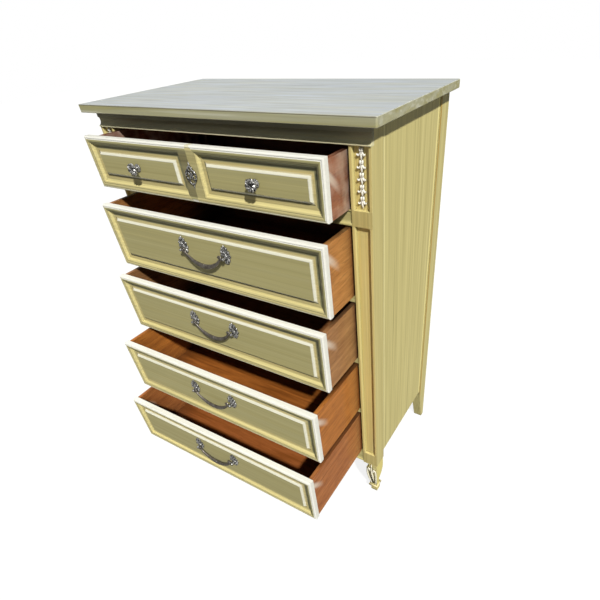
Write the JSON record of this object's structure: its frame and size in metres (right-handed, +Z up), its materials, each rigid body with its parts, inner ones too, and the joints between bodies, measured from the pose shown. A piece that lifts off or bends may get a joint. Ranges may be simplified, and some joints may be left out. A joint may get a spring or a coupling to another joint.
{
  "type": "tallboy chest of drawers",
  "caption": "Tall painted wooden chest with moulded inset drawers that slide on runners, hinged bail pulls, carved front feet and tapered rear legs.",
  "frame": {"origin": "on the floor, under the middle of the case between its sides and between its front and back", "axes": "+X to the viewer's right when facing the drawers, -Y out of the drawer fronts, +Z up"},
  "size_m": [0.924, 0.7809, 1.27],
  "materials": {
    "top_paint": "glossy pale painted wood",
    "case_paint": "cream-green painted wood with a fine streaked glaze",
    "front_paint": "cream-green painted wood with white moulding edges",
    "carving_paint": "white painted carved wood with dark glaze in the hollows",
    "drawer_box_wood": "clear lacquered orange-brown wood",
    "drawer_bottom_wood": "clear lacquered plywood",
    "back_board": "plain brown board",
    "inner_wood": "bare planed wood",
    "dark_metal": "darkened cast brass with rubbed highlights"
  },
  "bodies": {
    "case": {"back_panel": "back_board", "bottom_rail": "case_paint", "cornice_moulding": "case_paint", "divider_rail_1": "case_paint", "divider_rail_2": "case_paint", "divider_rail_3": "case_paint", "left_front_foot": "carving_paint", "left_front_post": "case_paint", "left_guides": "inner_wood", "left_husk_drop": "carving_paint", "left_rear_post": "case_paint", "left_runners": "inner_wood", "left_side_panel": "case_paint", "rear_rails": "inner_wood", "right_front_foot": "carving_paint", "right_front_post": "case_paint", "right_guides": "inner_wood", "right_husk_drop": "carving_paint", "right_rear_post": "case_paint", "right_runners": "inner_wood", "right_side_panel": "case_paint", "table_top": "top_paint", "top_front_rail": "inner_wood", "top_rear_rail": "inner_wood", "waist_rail": "case_paint"},
    "drawer_1": {"drawer_1_back": "drawer_box_wood", "drawer_1_bottom": "drawer_bottom_wood", "drawer_1_front": "front_paint", "drawer_1_knobs": "dark_metal", "drawer_1_left_side": "drawer_box_wood", "drawer_1_right_side": "drawer_box_wood", "keyhole_plate": "dark_metal"},
    "drawer_2": {"drawer_2_back": "drawer_box_wood", "drawer_2_bottom": "drawer_bottom_wood", "drawer_2_front": "front_paint", "drawer_2_left_side": "drawer_box_wood", "drawer_2_pull_plates": "dark_metal", "drawer_2_right_side": "drawer_box_wood"},
    "drawer_3": {"drawer_3_back": "drawer_box_wood", "drawer_3_bottom": "drawer_bottom_wood", "drawer_3_front": "front_paint", "drawer_3_left_side": "drawer_box_wood", "drawer_3_pull_plates": "dark_metal", "drawer_3_right_side": "drawer_box_wood"},
    "drawer_4": {"drawer_4_back": "drawer_box_wood", "drawer_4_bottom": "drawer_bottom_wood", "drawer_4_front": "front_paint", "drawer_4_left_side": "drawer_box_wood", "drawer_4_pull_plates": "dark_metal", "drawer_4_right_side": "drawer_box_wood"},
    "drawer_5": {"drawer_5_back": "drawer_box_wood", "drawer_5_bottom": "drawer_bottom_wood", "drawer_5_front": "front_paint", "drawer_5_left_side": "drawer_box_wood", "drawer_5_pull_plates": "dark_metal", "drawer_5_right_side": "drawer_box_wood"},
    "bail_2": {"drawer_2_bail": "dark_metal"},
    "bail_3": {"drawer_3_bail": "dark_metal"},
    "bail_4": {"drawer_4_bail": "dark_metal"},
    "bail_5": {"drawer_5_bail": "dark_metal"}
  },
  "joints": [
    {"name": "drawer_1_slide", "type": "slide", "parent": "case", "child": "drawer_1", "axis": [0, -1, 0], "range_m": [-0.096, 0.249]},
    {"name": "drawer_2_slide", "type": "slide", "parent": "case", "child": "drawer_2", "axis": [0, -1, 0], "range_m": [-0.124, 0.221]},
    {"name": "drawer_3_slide", "type": "slide", "parent": "case", "child": "drawer_3", "axis": [0, -1, 0], "range_m": [-0.164, 0.181]},
    {"name": "drawer_4_slide", "type": "slide", "parent": "case", "child": "drawer_4", "axis": [0, -1, 0], "range_m": [-0.243, 0.102]},
    {"name": "drawer_5_slide", "type": "slide", "parent": "case", "child": "drawer_5", "axis": [0, -1, 0], "range_m": [-0.305, 0.04]},
    {"name": "bail_2_swing", "type": "hinge", "parent": "drawer_2", "child": "bail_2", "pos_m": [0, -0.3646, 0.956], "axis": [-1, 0, 0], "range_deg": [-12, 88]},
    {"name": "bail_3_swing", "type": "hinge", "parent": "drawer_3", "child": "bail_3", "pos_m": [0, -0.4046, 0.745], "axis": [-1, 0, 0], "range_deg": [-12, 88]},
    {"name": "bail_4_swing", "type": "hinge", "parent": "drawer_4", "child": "bail_4", "pos_m": [0, -0.4836, 0.534], "axis": [-1, 0, 0], "range_deg": [-12, 88]},
    {"name": "bail_5_swing", "type": "hinge", "parent": "drawer_5", "child": "bail_5", "pos_m": [0, -0.5456, 0.323], "axis": [-1, 0, 0], "range_deg": [-12, 88]}
  ]
}
